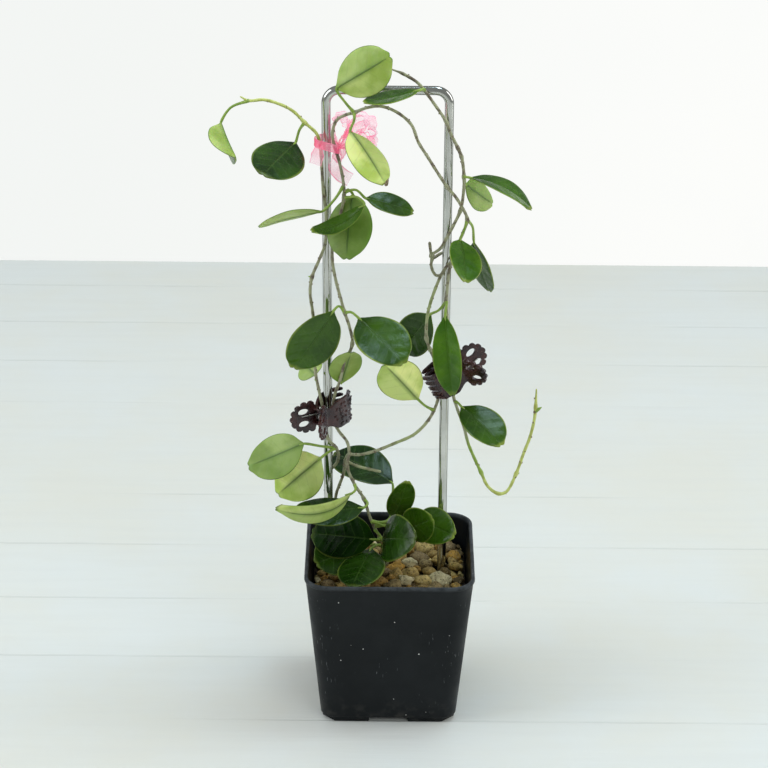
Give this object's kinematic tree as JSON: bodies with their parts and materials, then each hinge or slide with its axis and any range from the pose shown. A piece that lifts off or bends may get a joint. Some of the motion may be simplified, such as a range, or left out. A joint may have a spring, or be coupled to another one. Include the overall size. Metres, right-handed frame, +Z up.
{
  "type": "potted hoya plant",
  "caption": "Hoya plant in a black square nursery pot, its thick oval leaves and wiry stems trained over a bent steel hoop with two claw clips and a pink organza ribbon.",
  "frame": {"origin": "middle of the whole plant's bounding box, at the level that the pot's feet stand on", "axes": "X to the right seen from the front, Y to the back, Z up; the hoop stands in a plane across Y"},
  "size_m": [0.1706, 0.09, 0.3671],
  "materials": {
    "pot_plastic": "moulded black plastic, slightly scuffed",
    "gravel": "dry beige and tan gravel",
    "polished_steel": "polished stainless rod",
    "leaf": "thick waxy leaves, glossy above and matt below",
    "clip_plastic": "glossy dark brown plastic",
    "spring_steel": "bright wire",
    "organza": "sheer pink organza"
  },
  "bodies": {
    "root": {"pot": "pot_plastic", "growing_medium": "gravel", "hoop_trellis": "polished_steel", "main_leafy_stem": "leaf", "left_leafy_stem": "leaf", "right_leafy_stem": "leaf", "left_clip_front_lever": "clip_plastic", "left_clip_spring": "spring_steel", "left_clip_pin": "spring_steel", "right_clip_front_lever": "clip_plastic", "right_clip_spring": "spring_steel", "right_clip_pin": "spring_steel", "ribbon_tie": "organza"},
    "left_clip_jaw": {"left_clip_back_lever": "clip_plastic"},
    "right_clip_jaw": {"right_clip_back_lever": "clip_plastic"}
  },
  "joints": [
    {"name": "left_clip_hinge", "type": "hinge", "parent": "root", "child": "left_clip_jaw", "pos_m": [-0.02919, -0.0005, 0.164], "axis": [-0.0653, -0.0786, 0.9948], "range_deg": [0, 35], "stiffness_Nm_per_rad": 0.02, "springref_deg": -20.05, "deforming": ["left_clip_spring"]},
    {"name": "right_clip_hinge", "type": "hinge", "parent": "root", "child": "right_clip_jaw", "pos_m": [0.04511, 0.0063, 0.1886], "axis": [0.501, 0.173, -0.848], "range_deg": [0, 35], "stiffness_Nm_per_rad": 0.02, "springref_deg": -20.05, "deforming": ["right_clip_spring"]}
  ]
}
